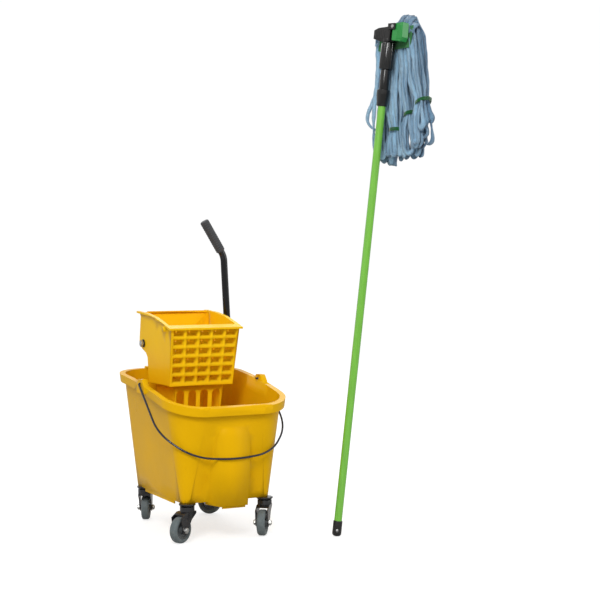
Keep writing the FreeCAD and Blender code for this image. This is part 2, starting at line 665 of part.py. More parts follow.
def make_shaft():
    keep(rod("shaft_rod", "X", "shaft_radius", ("-shaft_left", "shaft_right"), ("0", "0")),
         "lever_shaft", "-shaft_left", "shaft_y", "shaft_z", Rotation(AXES["Y"], 90))
    nuts = []
    for end, low in (("left", "-(shaft_left - 1)"), ("right", "shaft_right - 7")):
        nut = doc.addObject("Part::Prism", f"nut_{end}")
        nut.Polygon = 6
        nut.Circumradius = 11
        nut.Height = 6
        nut.Placement = Placement(Vector(), Rotation(AXES["Y"], 90))
        nuts.append(move(nut, low, "shaft_y", "shaft_z"))
    hole = rod("nut_holes", "X", "shaft_radius", ("-150", "250"), ("shaft_y", "shaft_z"))
    keep(cut("nuts", fuse("nut_pair", *nuts), hole), "shaft_nuts")


def make_bushes():
    """Three flanged bushes: one in each side panel and one at the end of the long boss."""
    rings = []
    for name, low, high, flange in (("left", "-112", "-102", "-112"), ("right", "102", "112", "102"),
                                    ("end", "145", "boss_end + 2.5", "boss_end + 0.3")):
        sleeve = rod(f"bush_{name}", "X", "bush_radius", (low, high), ("shaft_y", "shaft_z"))
        collar = rod(f"bush_{name}_flange", "X", "12.5", (flange, f"{flange} + 2.2"), ("shaft_y", "shaft_z"))
        rings += [sleeve, collar]
    bore = rod("bush_bore", "X", "shaft_bore", ("-130", "boss_end + 5"), ("shaft_y", "shaft_z"))
    keep(cut("bush_rings", fuse("bush_mass", *rings), bore), "shaft_bushes")


def make_crank(side):
    """A crank arm keyed to the shaft, and the drive pin at its tip."""
    name = "right" if side > 0 else "left"
    low, high = ("crank_x", "crank_x + crank_thick") if side > 0 else ("-(crank_x + crank_thick)", "-crank_x")
    lean = Rotation(AXES["X"], -size("crank_lean"))
    hub = rod(f"crank_hub_{name}", "X", "13", (low, high), ("0", "0"))
    tip = rod(f"crank_tip_{name}", "X", "9", (low, high), ("0", "crank_length"))
    web = box(f"crank_web_{name}", (low, high), ("-7", "7"), ("0", "crank_length"))
    bore = rod(f"crank_bore_{name}", "X", "shaft_radius", (f"{low} - 1", f"{high} + 1"), ("0", "0"))
    eye = rod(f"crank_eye_{name}", "X", "4", (f"{low} - 1", f"{high} + 1"), ("0", "crank_length"))
    arm = cut(f"crank_solid_{name}", fuse(f"crank_mass_{name}", hub, tip, web), fuse(f"crank_holes_{name}", bore, eye))
    keep(arm, f"crank_arm_{name}", y="shaft_y", z="shaft_z", turn=lean)
    reach = ("crank_x", "cam_plate_x + cam_plate_thick") if side > 0 else (
        "-(cam_plate_x + cam_plate_thick)", "-crank_x")
    head = ("cam_plate_x - 2", reach[1]) if side > 0 else (reach[0], "-(cam_plate_x - 2)")
    spigot = rod(f"pin_spigot_{name}", "X", "4", reach, ("0", "crank_length"))
    roller = rod(f"pin_head_{name}", "X", "drive_pin_radius", head, ("0", "crank_length"))
    keep(fuse(f"drive_pin_solid_{name}", spigot, roller), f"drive_pin_{name}", y="shaft_y", z="shaft_z", turn=lean)


def make_springs():
    """The torsion springs' coil envelopes, between the cranks and the side panels."""
    for side, low, high in (("left", "-98", "-80"), ("right", "80", "98")):
        coil = rod(f"spring_coil_{side}", "X", "11", (low, high), ("shaft_y", "shaft_z"))
        bore = rod(f"spring_bore_{side}", "X", "7.5", (f"{low} - 1", f"{high} + 1"), ("shaft_y", "shaft_z"))
        keep(cut(f"spring_{side}_solid", coil, bore), f"return_spring_{side}")


# ---- lever ----------------------------------------------------------------------------------------------


def lever_points():
    """The lever's centre line, upright beside the housing and bent inwards under the grip."""
    bend = Vector(size("lever_bend_x"), 0, size("lever_bend_z - shaft_z"))
    run = (bend - Vector(size("lever_x"), 0, 0)).normalize()
    start = Vector(size("lever_x"), 0, 0) + run * size("socket_floor")
    end = Vector(size("lever_end_x"), 0, size("lever_end_z - shaft_z"))
    reach = (end - bend).normalize()
    return start, bend, bend + reach * size("grip_start + grip_length - 4")


def make_lever():
    start, bend, end = lever_points()
    path = bend_through([start, bend, end], [size("lever_bend")])
    tube = pipe(path, size("lever_radius")).cut(pipe(path, size("lever_bore")))
    keep(feature("lever_bent_tube", tube), "lever_tube", y="shaft_y", z="shaft_z")

    boss = rod("hub_boss", "X", "19", ("lever_x - 16", "lever_x + 10"), ("0", "0"))
    socket = rod("hub_socket", "Z", "socket_radius", ("0", "socket_length"))
    socket.Placement = Placement(Vector(), Rotation(AXES["Z"], bend - Vector(size("lever_x"), 0, 0)))
    move(socket, "lever_x")
    floor = rod("hub_floor", "Z", "lever_radius", ("0", "90"))
    floor.Placement = Placement(Vector(), socket.Placement.Rotation)
    move(floor, f"{start.x}", "0", f"{start.z}")
    bore = rod("hub_bore", "X", "shaft_radius", ("lever_x - 20", "lever_x + 20"), ("0", "0"))
    hub = cut("hub_solid", fuse("hub_mass", boss, socket), fuse("hub_holes", floor, bore))
    keep(hub, "lever_hub", y="shaft_y", z="shaft_z")

    grip = turned("grip_solid", [
        ("lever_radius", "grip_start"), ("grip_radius - 2", "grip_start"), ("grip_radius", "grip_start + 6"),
        ("grip_radius", "grip_start + grip_length - 3"), ("grip_radius - 3", "grip_start + grip_length"),
        ("0", "grip_start + grip_length"), ("0", "grip_start + grip_length - 4"),
        ("lever_radius", "grip_start + grip_length - 4")])
    keep(grip, "lever_grip", "lever_bend_x", "shaft_y", "lever_bend_z", Rotation(AXES["Z"], end - bend))


# ---- mop ------------------------------------------------------------------------------------------------


def make_handle():
    tube = turned("handle_solid", [
        ("handle_bore", "10"), ("handle_radius", "10"), ("handle_radius", "handle_end"), ("handle_bore", "handle_end")])
    keep_on_mop(tube, "mop_handle")
    cap = turned("butt_solid", [
        ("0", "0"), ("6", "0"), ("11", "2"), ("butt_radius", "6"), ("butt_radius", "butt_length - 2"),
        ("handle_radius + 0.6", "butt_length"), ("handle_radius", "butt_length"), ("handle_radius", "25"),
        ("0", "25")])
    hole = body_sketch(cap, "hang_hole", "XZ")
    draw_circle(hole, "hang_hole_radius", "0", "hang_hole_height")
    pocket(cap, hole, "60")
    tube_foot = body_sketch(tube, "handle_trim", "XY", "18")
    draw_circle(tube_foot, "2 * handle_radius")
    pocket(tube, tube_foot, "17")
    keep_on_mop(cap, "handle_butt_cap")


def make_collar_and_nut():
    collar = turned("collar_solid", [
        ("handle_radius", "collar_foot"), ("14.5", "collar_foot"), ("16", "collar_foot + 6"),
        ("collar_radius", "collar_top - 12"), ("collar_radius", "collar_top"), ("handle_radius", "collar_top")])
    keep_on_mop(collar, "handle_collar")
    neck = turned("neck_solid", [
        ("0", "handle_end"), ("handle_radius - 0.2", "handle_end"), ("handle_radius - 0.2", "collar_top"),
        ("neck_radius", "collar_top"), ("neck_radius", "neck_top - 1"), ("neck_stub", "neck_top - 1"),
        ("neck_stub", "nut_top + 1.4"), ("0", "nut_top + 1.4")])
    keep_on_mop(neck, "clamp_neck")
    nut = turned("nut_body", [
        ("nut_bore", "neck_top"), ("18", "neck_top"), ("nut_radius", "neck_top + 4"),
        ("nut_radius", "nut_top - 4"), ("18", "nut_top"), ("nut_bore", "nut_top")])
    flute = body_sketch(nut, "nut_flute", "XY", "neck_top + 40")
    draw_circle(flute, "2.2", "nut_radius + 0.8", "0")
    groove = pocket(nut, flute, "100")
    ring = nut.newObject("PartDesign::PolarPattern", "nut_flutes")
    ring.Originals = [groove]
    ring.Axis = (flute, ["N_Axis"])
    ring.Angle = 360
    ring.Occurrences = 12
    nut.Tip = ring
    keep_on_mop(nut, "clamp_nut")


def make_clamp():
    """The gripper at the mop's head: a wedge-shaped bar and a gate hinged on ears at its end."""
    bar = padded("clamp_bar", "XZ", [
        ("-52", "clamp_foot + 10"), ("-20", "clamp_foot"), ("16", "clamp_foot"), ("16", "clamp_top + 2"),
        ("-34", "clamp_top"), ("-52", "clamp_top - 6")], "28")
    ears = [box(f"clamp_ear_{side}", ("8", "jaw_pivot_s + 9"), (low, high), ("clamp_top - 8", "clamp_top + 10"))
            for side, low, high in (("near", "-17.2", "-13.4"), ("far", "13.4", "17.2"))]
    holes = rod("clamp_ear_holes", "Y", "3", ("-30", "30"), ("jaw_pivot_s", "jaw_pivot_z"))
    socket = rod("clamp_socket", "Z", "17", ("nut_top + 1.4", "clamp_foot + 8"))
    keep_on_mop(cut("clamp_body_solid", fuse("clamp_body_mass", bar, socket, *ears), holes), "clamp_body", True)
    jaw = padded("jaw_solid", "XZ", [
        ("24", "clamp_top - 7"), ("24", "clamp_foot + 2"), ("60", "clamp_foot - 2"), ("66", "clamp_foot + 10"),
        ("64", "clamp_top + 12"), ("34", "clamp_top + 10"), ("21", "clamp_top + 5"), ("20", "clamp_top - 2")],
        "25.6")
    bore = body_sketch(jaw, "jaw_bore", "XZ")
    draw_circle(bore, "3.06", "jaw_pivot_s", "jaw_pivot_z")
    pocket(jaw, bore, "60")
    keep_on_mop(jaw, "clamp_jaw", True)
    pin = rod("jaw_pin_rod", "Y", "3", ("-18", "18"), ("0", "0"))
    holder = fuse("jaw_pin_solid", pin, rod("jaw_pin_head", "Y", "5", ("-19.2", "-17.4"), ("0", "0")))
    keep_on_clamp_pivot(holder)


def keep_on_clamp_pivot(pin):
    """The jaw's hinge pin, made about its own axis and put at the pivot."""
    turn = Rotation(AXES["Z"], size("mop_turn")).multiply(Rotation(AXES["Y"], size("mop_tilt")))
    turn = turn.multiply(Rotation(AXES["Z"], size("clamp_turn")))
    offset = turn.multVec(Vector(size("jaw_pivot_s"), 0, size("jaw_pivot_z")))
    keep(pin, "jaw_pin", f"mop_x + ({offset.x})", f"mop_y + ({offset.y})", f"mop_z + ({offset.z})", turn)


def make_yarn():
    """The headband behind the clamp, the hanging yarn as one plain mass, and its three stitched tail bands."""
    band = padded("band_solid", "XZ", [
        ("-64", "clamp_foot - 20"), ("-56", "clamp_foot - 22"), ("68", "clamp_foot - 14"), ("72", "clamp_top + 8"),
        ("-66", "clamp_top + 6")], "band_far - band_near", "-(band_far + band_near)/2")
    keep_on_mop(band, "headband", True)
    hank = padded("yarn_solid", "XZ", [
        ("-74", "1482"), ("-30", "1513"), ("22", "1535"), ("50", "1532"), ("72", "1500"), ("104", "1400"),
        ("130", "1290"), ("150", "1216"), ("150", "1160"), ("128", "1114"), ("60", "1088"), ("-16", "1082"),
        ("-34", "1112"), ("-70", "1235"), ("-56", "1320")], "52", "-51")
    keep_on_mop(hank, "mop_yarn", True)
    bands = []
    for number, (low, high, height) in enumerate(((2, 58, 1188), (62, 90, 1234), (102, 138, 1268))):
        bands.append(box(f"tail_{number}", (low, high), ("23.6", "26"), (height, height + 14)))
    keep_on_mop(fuse("tail_solid", *bands), "tail_bands", True)


# ---- the whole ------------------------------------------------------------------------------------------


def check_document():
    doc.recompute()
    failed = [item.Name for item in doc.Objects if "Invalid" in item.State or "Error" in item.State]
    for item in sub_parts:
        if item.Shape.isNull() or not item.Shape.isValid() or not item.Shape.Solids:
            failed.append(item.Label)
    if failed:
        raise RuntimeError("failed: " + ", ".join(failed))


def write_parts():
    os.makedirs("parts", exist_ok=True)
    for item in sub_parts:
        item.Shape.exportStep(f"parts/{item.Label}.step")
        print(f"{item.Label:34} {len(item.Shape.Solids)} solid(s), {item.Shape.Volume / 1000:9.1f} cm3")
    whole = Part.makeCompound([item.Shape for item in sub_parts]).BoundBox
    print("bounds", [round(value, 1) for value in (whole.XMin, whole.YMin, whole.ZMin, whole.XMax, whole.YMax,
                                                   whole.ZMax)])


fill_sheet()
make_bucket_shell()
make_bail()
make_castor("front_left", "-castor_half_track", "-castor_front", "swivel_front_left")
make_castor("front_right", "castor_half_track", "-castor_front", "swivel_front_right")
make_castor("rear_left", "-castor_half_track", "castor_rear", "swivel_rear_left")
make_castor("rear_right", "castor_half_track", "castor_rear", "swivel_rear_right")
make_housing()
make_press_plate()
make_shaft()
make_bushes()
make_crank(-1)
make_crank(1)
make_springs()
make_lever()
make_handle()
make_collar_and_nut()
make_clamp()
make_yarn()
check_document()
write_parts()
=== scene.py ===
import json
import math

import bpy
import numpy as np
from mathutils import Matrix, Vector


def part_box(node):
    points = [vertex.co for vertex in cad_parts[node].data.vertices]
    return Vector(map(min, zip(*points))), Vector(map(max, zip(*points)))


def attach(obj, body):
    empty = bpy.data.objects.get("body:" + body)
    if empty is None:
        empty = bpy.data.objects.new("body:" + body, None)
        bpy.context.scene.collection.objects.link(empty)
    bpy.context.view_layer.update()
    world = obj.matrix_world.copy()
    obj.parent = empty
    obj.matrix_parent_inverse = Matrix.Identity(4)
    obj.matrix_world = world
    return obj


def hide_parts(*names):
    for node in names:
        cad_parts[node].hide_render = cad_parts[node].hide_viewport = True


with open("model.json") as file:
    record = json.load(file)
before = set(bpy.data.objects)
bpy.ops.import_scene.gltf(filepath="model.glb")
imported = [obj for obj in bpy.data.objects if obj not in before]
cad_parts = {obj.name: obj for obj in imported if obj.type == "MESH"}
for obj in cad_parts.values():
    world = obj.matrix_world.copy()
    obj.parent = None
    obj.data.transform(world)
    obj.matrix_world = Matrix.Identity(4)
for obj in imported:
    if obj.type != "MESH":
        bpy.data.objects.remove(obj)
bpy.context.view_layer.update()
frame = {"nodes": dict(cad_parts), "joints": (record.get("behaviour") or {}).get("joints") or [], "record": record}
nodes = frame["nodes"]
joints = {joint["name"]: joint for joint in frame["joints"]}
bodyOf = {name: body for body, names in frame["record"]["behaviour"]["bodies"].items() for name in names}
slotOf = {entry["node"]: entry["material_slot"] for entry in frame["record"]["subparts"]}
print("frame loaded:", len(nodes), "nodes")


class Field:
    # one output of a shader node, so that Python's operators build Math nodes
    def __init__(self, finish, socket):
        self.finish = finish
        self.socket = socket

    def calc(self, operation, *others):
        return self.finish.make("Math", {"operation": operation}, dict(enumerate((self,) + others)))

    def flipped(self, operation, other):
        return self.finish.make("Math", {"operation": operation}, {0: other, 1: self})

    def __add__(self, other):
        return self.calc("ADD", other)

    def __sub__(self, other):
        return self.calc("SUBTRACT", other)

    def __mul__(self, other):
        return self.calc("MULTIPLY", other)

    def __rsub__(self, other):
        return self.flipped("SUBTRACT", other)

    __radd__ = __add__
    __rmul__ = __mul__


class Finish:
    # a material around one Principled shader; uniform numbers go straight onto its sockets
    def __init__(self, name, colour, rough, **uniform):
        self.material = bpy.data.materials.new(name)
        self.material.use_nodes = True
        self.tree = self.material.node_tree
        self.shader = self.tree.nodes["Principled BSDF"]
        self.colour = colour
        self.rough = rough
        self.shader.inputs["Base Color"].default_value = (*colour, 1)
        self.shader.inputs["Roughness"].default_value = rough
        for socket, value in uniform.items():
            self.shader.inputs[socket.replace("_", " ")].default_value = value

    def plug(self, socket, value):
        if isinstance(value, Field):
            self.tree.links.new(value.socket, socket)
        elif socket.type == "RGBA" and len(value) == 3:
            socket.default_value = (*value, 1)
        else:
            socket.default_value = value

    # any node: its type, its settings (stops are a ramp's positions and greys or colours), then its sockets
    def make(self, kind, settings=None, sockets=None, out=0):
        node = self.tree.nodes.new("ShaderNode" + kind)
        for key, value in (settings or {}).items():
            if key == "stops":
                while len(node.color_ramp.elements) < len(value):
                    node.color_ramp.elements.new(0.5)
                for element, (position, colour) in zip(node.color_ramp.elements, value):
                    element.position = position
                    element.color = (*colour, 1)
            else:
                setattr(node, key, value)
        for key, value in (sockets or {}).items():
            self.plug(node.inputs[key], value)
        return Field(self, node.outputs[out])

    def places(self, stretch=(1, 1, 1)):
        coords = self.make("TexCoord", out="Object")
        return self.make("VectorMath", {"operation": "MULTIPLY"}, {0: coords, 1: stretch})

    def threads(self, stretch=(1, 1, 1)):
        coords = self.make("UVMap", {"uv_map": "run"})
        return self.make("VectorMath", {"operation": "MULTIPLY"}, {0: coords, 1: stretch})

    def noise(self, vector, scale, detail=3, rough=0.55):
        return self.make("TexNoise", None, {
            "Vector": vector, "Scale": scale, "Detail": detail, "Roughness": rough})

    def ramp(self, value, low, high, start=0.0, end=1.0):
        return self.make("MapRange", {"clamp": True}, {
            "Value": value, "From Min": low, "From Max": high, "To Min": start, "To Max": end})

    def mix(self, factor, first, second):
        return self.make("Mix", {"data_type": "RGBA"}, {0: factor, 6: first, 7: second}, out=2)

    def bump(self, height, depth, normal=None):
        sockets = {"Height": height, "Strength": 1.0, "Distance": depth}
        if normal is not None:
            sockets["Normal"] = normal
        return self.make("Bump", None, sockets)

    def rounded(self, radius):
        return self.make("Bevel", {"samples": 4}, {"Radius": radius})

    def feed(self, **fields):
        for socket, field in fields.items():
            self.plug(self.shader.inputs[socket.replace("_", " ")], field)
        return self.material


def toned(colour, gain):
    return tuple(min(1.0, max(0.0, channel * gain)) for channel in colour)


# glossy moulded plastic: slow tone drift, faint flow marks, hairline scuffs and an orange-peel skin
def mouldedPlastic(name, colour, rough=0.3, scuffs=0.35, peel=0.00008, edge=0.0014, gloss=0.45, coat=0.35,
                   glint=(1, 1, 1, 1), lowest=None):
    skin = Finish(name, colour, rough, Coat_Weight=coat, Coat_Roughness=0.12, Specular_IOR_Level=gloss,
                  Specular_Tint=glint)
    place = skin.places()
    drift = skin.noise(place, 5.5, 2)
    tone = skin.mix(skin.ramp(drift, 0.3, 0.72), toned(colour, 0.93), toned(colour, 1.05))
    fine = skin.noise(skin.places((1, 1, 0.16)), 260, 2)
    marks = skin.ramp(skin.noise(skin.places((9, 9, 1.2)), 21, 4, 0.7), 0.60, 0.70) * scuffs
    tone = skin.mix(marks * 0.4, tone, toned(colour, 0.8))
    if lowest is not None:
        # street dust that gathers towards the floor
        height = skin.make("SeparateXYZ", None, {0: place}, out=2)
        clouds = skin.ramp(skin.noise(place, 34, 4), 0.35, 0.75)
        dust = skin.ramp(height, lowest + 0.09, lowest, 0, 1) * clouds
        tone = skin.mix(dust * 0.10, tone, (0.36, 0.20, 0.03))
    peelSkin = skin.noise(place, 420, 2)
    normal = skin.bump(peelSkin + fine * 0.5, peel, skin.rounded(edge))
    skin.feed(Base_Color=tone, Roughness=skin.ramp(drift, 0.3, 0.7, rough * 0.85, rough * 1.2) + marks * 0.35,
              Normal=normal)
    return skin.material


# stove-enamelled metal: gloss coat, faint dimples, dust specks in patches
def enamel(name, colour, rough=0.22, dusty=0.25, edge=0.0008):
    skin = Finish(name, colour, rough, Coat_Weight=0.3, Coat_Roughness=0.06, Specular_IOR_Level=0.4)
    place = skin.places()
    patches = skin.ramp(skin.noise(place, 26, 4, 0.65), 0.5, 0.78)
    specks = skin.ramp(skin.noise(place, 520, 2), 0.58, 0.72) * patches
    tone = skin.mix(patches * 0.12 * dusty + specks * 0.5 * dusty, colour, (0.30, 0.28, 0.25))
    normal = skin.bump(skin.noise(place, 190, 3), 0.00006, skin.rounded(edge))
    skin.feed(Base_Color=tone, Roughness=rough + patches * 0.18 * dusty + specks * 0.3 * dusty, Normal=normal)
    return skin.material


# plated steel: drawn lines, cloudy zinc bloom
def plated(name, colour, rough=0.32, lines=(1, 1, 30)):
    skin = Finish(name, colour, rough, Metallic=1.0)
    place = skin.places()
    cloud = skin.noise(place, 60, 4, 0.7)
    drawn = skin.noise(skin.places(lines), 90, 2)
    tone = skin.mix(skin.ramp(cloud, 0.35, 0.7), toned(colour, 0.78), toned(colour, 1.1))
    skin.feed(Base_Color=tone, Roughness=rough + cloud * 0.16,
              Normal=skin.bump(drawn, 0.00005, skin.rounded(0.0005)))
    return skin.material


# soft rubber: matt, scuffed paler where it rolls or is held, fine grain
def softRubber(name, colour, rough=0.72, worn=(0.30, 0.31, 0.30), wear=0.35, edge=0.001):
    skin = Finish(name, colour, rough, Sheen_Weight=0.15, Sheen_Roughness=0.5)
    place = skin.places()
    rubbed = skin.ramp(skin.noise(place, 75, 4, 0.7), 0.46, 0.72)
    tone = skin.mix(rubbed * wear, colour, worn)
    skin.feed(Base_Color=tone, Roughness=rough + rubbed * 0.15,
              Normal=skin.bump(skin.noise(place, 900, 2), 0.0001, skin.rounded(edge)))
    return skin.material


# lacquered handle tube: deep gloss with long faint streaks along it
def lacquer(name, colour):
    skin = Finish(name, colour, 0.24, Coat_Weight=0.7, Coat_Roughness=0.05)
    streaks = skin.noise(skin.places((14, 14, 0.8)), 18, 3)
    nicks = skin.ramp(skin.noise(skin.places((3, 3, 1)), 140, 4, 0.75), 0.68, 0.74)
    tone = skin.mix(skin.ramp(streaks, 0.35, 0.7), toned(colour, 0.9), toned(colour, 1.1))
    tone = skin.mix(nicks * 0.5, tone, toned(colour, 0.45))
    skin.feed(Base_Color=tone, Roughness=0.22 + streaks * 0.1 + nicks * 0.4,
              Normal=skin.bump(streaks, 0.00004))
    return skin.material


# knitted microfibre tape: ribs of stitches along and across the run, a soft nap, folds, and the random tone and
# painted shade that each corner of the mesh carries
def knit(name, colour, shadow, across, along, depth=0.0005):
    cloth = Finish(name, colour, 0.92, Sheen_Weight=0.55, Sheen_Roughness=0.45, Specular_IOR_Level=0.2)
    ribs = cloth.make("TexWave", {"wave_type": "BANDS", "bands_direction": "X", "wave_profile": "SIN"},
                      {"Vector": cloth.threads((across, 0, 0)), "Scale": 1.0, "Distortion": 0.0})
    loops = cloth.make("TexWave", {"wave_type": "BANDS", "bands_direction": "Y", "wave_profile": "SIN"},
                       {"Vector": cloth.threads((across * 0.35, along, 0)), "Scale": 1.0, "Distortion": 0.0})
    nap = cloth.noise(cloth.places(), 700, 3, 0.7)
    folds = cloth.noise(cloth.threads((3, 60, 1)), 1.0, 3)
    tint = cloth.make("Attribute", {"attribute_name": "tint"}, out="Fac")
    stitch = ribs * 0.5 + loops * 0.5
    # painted shade in the stitches and folds, with the nap's random tone, blends the tape from its shadow colour
    # into its own colour
    tone = cloth.mix(cloth.ramp(stitch * 0.4 + nap * 0.4 + folds * 0.4, 0.18, 0.74), shadow, colour)
    # each vertex's random tone and painted shade darken the tape towards its shadow colour
    tone = cloth.mix(cloth.ramp(tint, 0, 1, 0.0, 0.85), tone, shadow)
    cloth.feed(Base_Color=tone, Normal=cloth.bump(stitch + nap * 0.8 + folds * 0.9, depth))
    return cloth.material


# open woven tape: square cells, stitched, with painted shade in the sunken gaps between them
def woven(name, colour, cell, depth=0.0004):
    cloth = Finish(name, colour, 0.85, Sheen_Weight=0.3)
    cells = cloth.make("TexBrick", {"offset": 0.0}, {
        "Vector": cloth.places(), "Scale": 1 / cell, "Mortar Size": 0.12, "Mortar Smooth": 0.7,
        "Brick Width": 1.0, "Row Height": 1.0, "Color1": (1, 1, 1, 1), "Color2": (0.8, 0.8, 0.8, 1),
        "Mortar": (0, 0, 0, 1)}, out="Fac")
    nap = cloth.noise(cloth.places(), 800, 2)
    # painted shade: the gaps between the cells are darkened as well as sunk
    tone = cloth.mix(cells, colour, toned(colour, 0.35))
    cloth.feed(Base_Color=cloth.mix(nap * 0.5, tone, toned(colour, 1.6)),
               Normal=cloth.bump(nap - cells, depth))
    return cloth.material


# the yellow mouldings glint in their own colour, as pigmented polypropylene does under a broad light
sunny = {"gloss": 0.14, "coat": 0.0, "glint": (1.0, 0.72, 0.16, 1)}
finishes = {
    "bucket_yellow": mouldedPlastic("bucketYellow", (0.81, 0.445, 0.003), 0.32, lowest=0.09, **sunny),
    "wringer_yellow": mouldedPlastic("wringerYellow", (1.0, 0.58, 0.006), 0.34, edge=0.001, **sunny),
    "press_orange": mouldedPlastic("pressOrange", (0.98, 0.54, 0.006), 0.36, edge=0.001, **sunny),
    "bail_black": enamel("bailBlack", (0.012, 0.014, 0.028), 0.2),
    "castor_black": enamel("castorBlack", (0.01, 0.01, 0.012), 0.2, 0.4),
    "zinc": plated("zincPlate", (0.62, 0.62, 0.60)),
    "steel": plated("shaftSteel", (0.55, 0.55, 0.55), 0.28),
    "tyre_grey": softRubber("tyreGrey", (0.10, 0.125, 0.13), 0.6, (0.24, 0.26, 0.26)),
    "hub_grey": mouldedPlastic("hubGrey", (0.075, 0.085, 0.09), 0.42, edge=0.0006),
    "lever_black": enamel("leverBlack", (0.003, 0.003, 0.004), 0.14, 0.04),
    "grip_grey": softRubber("gripGrey", (0.035, 0.036, 0.04), 0.55, (0.10, 0.10, 0.11), 0.3, 0.0005),
    "spring_steel": plated("springSteel", (0.32, 0.32, 0.34), 0.3),
    "bush_black": mouldedPlastic("bushBlack", (0.012, 0.012, 0.013), 0.4, edge=0.0004),
    "handle_green": lacquer("handleGreen", (0.17, 0.50, 0.04)),
    "fitting_green": mouldedPlastic("jawGreen", (0.015, 0.28, 0.045), 0.34, edge=0.0008),
    "clamp_black": mouldedPlastic("clampBlack", (0.010, 0.009, 0.009), 0.32, 0.2, edge=0.001, coat=0.1),
    "neck_black": mouldedPlastic("neckBlack", (0.004, 0.004, 0.004), 0.2, 0.15, edge=0.0009),
    "band_green": woven("bandGreen", (0.015, 0.17, 0.035), 0.0035),
    # the second colour of each knit is its painted shadow colour
    "yarn_blue": knit("yarnBlue", (0.45, 0.76, 1.0), (0.022, 0.09, 0.21), 14, 900, 0.0008),
    "tail_green": knit("tailGreen", (0.010, 0.11, 0.03), (0.004, 0.04, 0.012), 30, 1400, 0.0003),
}
for name, node in nodes.items():
    node.data.materials.clear()
    node.data.materials.append(finishes[slotOf[name]])
print("finishes made:", len(finishes))


# a smooth mesh of quads, with the run of each corner's thread as its UV map and, for each vertex, a random tone
# with painted shade
def buildMesh(name, points, quads, material, body, uv=None, tint=None, smooth=True):
    mesh = bpy.data.meshes.new(name)
    mesh.from_pydata(points.reshape(-1, 3).tolist(), [], quads.tolist())
    if uv is not None:
        layer = mesh.uv_layers.new(name="run")
        layer.data.foreach_set("uv", uv[quads.ravel()].astype(np.float32).ravel())
    if tint is not None:
        tones = mesh.attributes.new("tint", "FLOAT", "POINT")
        tones.data.foreach_set("value", tint.astype(np.float32).ravel())
    mesh.polygons.foreach_set("use_smooth", np.full(len(mesh.polygons), smooth))
    mesh.materials.append(material)
    mesh.update()
    piece = bpy.data.objects.new(name, mesh)
    bpy.context.scene.collection.objects.link(piece)
    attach(piece, body)
    return piece


# vertex numbers of a grid of rows by columns, as quads; a wrapped one joins its last column, or row, to
# the first
def gridQuads(rows, columns, wrapColumns=False, wrapRows=False, start=0):
    row, column = np.meshgrid(np.arange(rows if wrapRows else rows - 1),
                              np.arange(columns if wrapColumns else columns - 1), indexing="ij")
    after, beside = (row + 1) % rows, (column + 1) % columns
    quads = np.stack([row * columns + column, row * columns + beside,
                      after * columns + beside, after * columns + column], axis=-1)
    return quads.reshape(-1, 4) + start


# a smooth curve through points: cubic pieces whose slopes are half the span between each point's neighbours
def throughPoints(points, count):
    points = np.asarray(points, float)
    padded = np.vstack([2 * points[0] - points[1], points, 2 * points[-1] - points[-2]])
    place = np.linspace(0, len(points) - 1, count)
    index = np.minimum(place.astype(int), len(points) - 2)
    t = (place - index)[:, None]
    p0, p1, p2, p3 = (padded[index + offset] for offset in range(4))
    return 0.5 * (2 * p1 + (p2 - p0) * t + (2 * p0 - 5 * p1 + 4 * p2 - p3) * t ** 2
                  + (3 * p1 - p0 - 3 * p2 + p3) * t ** 3)


# a copy of a CAD piece that is welded, shaded smooth up to an angle and given rounded edges
def refine(name, width=0.0, slot=None, angle=32, segments=2):
    source = nodes[name]
    piece = bpy.data.objects.new(name + ".finished", source.data.copy())
    bpy.context.scene.collection.objects.link(piece)
    weld = piece.modifiers.new("weld", "WELD")
    weld.merge_threshold = 0.00002
    applyModifiers(piece)
    piece.data.shade_smooth()
    piece.data.set_sharp_from_angle(angle=math.radians(angle))
    if width:
        bevel = piece.modifiers.new("edges", "BEVEL")
        bevel.width = width
        bevel.segments = segments
        bevel.limit_method = "ANGLE"
        bevel.angle_limit = math.radians(angle)
        bevel.harden_normals = True
        applyModifiers(piece)
    piece.data.materials.clear()
    piece.data.materials.append(finishes[slot or slotOf[name]])
    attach(piece, bodyOf[name])
    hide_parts(name)
    return piece


def applyModifiers(piece):
    graph = bpy.context.evaluated_depsgraph_get()
    mesh = bpy.data.meshes.new_from_object(piece.evaluated_get(graph), depsgraph=graph)
    old = piece.data
    piece.modifiers.clear()
    piece.data = mesh
    bpy.data.meshes.remove(old)


shot = {"place": (-1.7887, -3.6729, 0.8164), "heading": 27.393, "lens": 81.72, "lift": 0.0735}
camera = bpy.data.cameras.new("camera")
camera.lens = shot["lens"]
camera.sensor_width = 36
camera.shift_y = -shot["lift"]
camera.clip_end = 60
viewpoint = bpy.data.objects.new("viewpoint", camera)
viewpoint.location = shot["place"]
viewpoint.rotation_euler = (math.radians(90), 0, -math.radians(shot["heading"]))
bpy.context.scene.collection.objects.link(viewpoint)
bpy.context.scene.camera = viewpoint

bpy.context.scene.view_settings.view_transform = "Standard"
studio = {"floor": (0.5, 0.5, 0.5), "glow": 0.66, "world": 0.72, "backdrop": 1.02, "lamps": {
    "key": ((-2.6, -3.4, 3.6), 1.6, 130), "fill": ((3.4, -2.6, 2.0), 2.0, 22),
    "rear": ((1.2, 3.6, 3.4), 2.4, 40)}, "aim": (0, 0, 0.55), "reach": 60.0, "under": 0.0002}


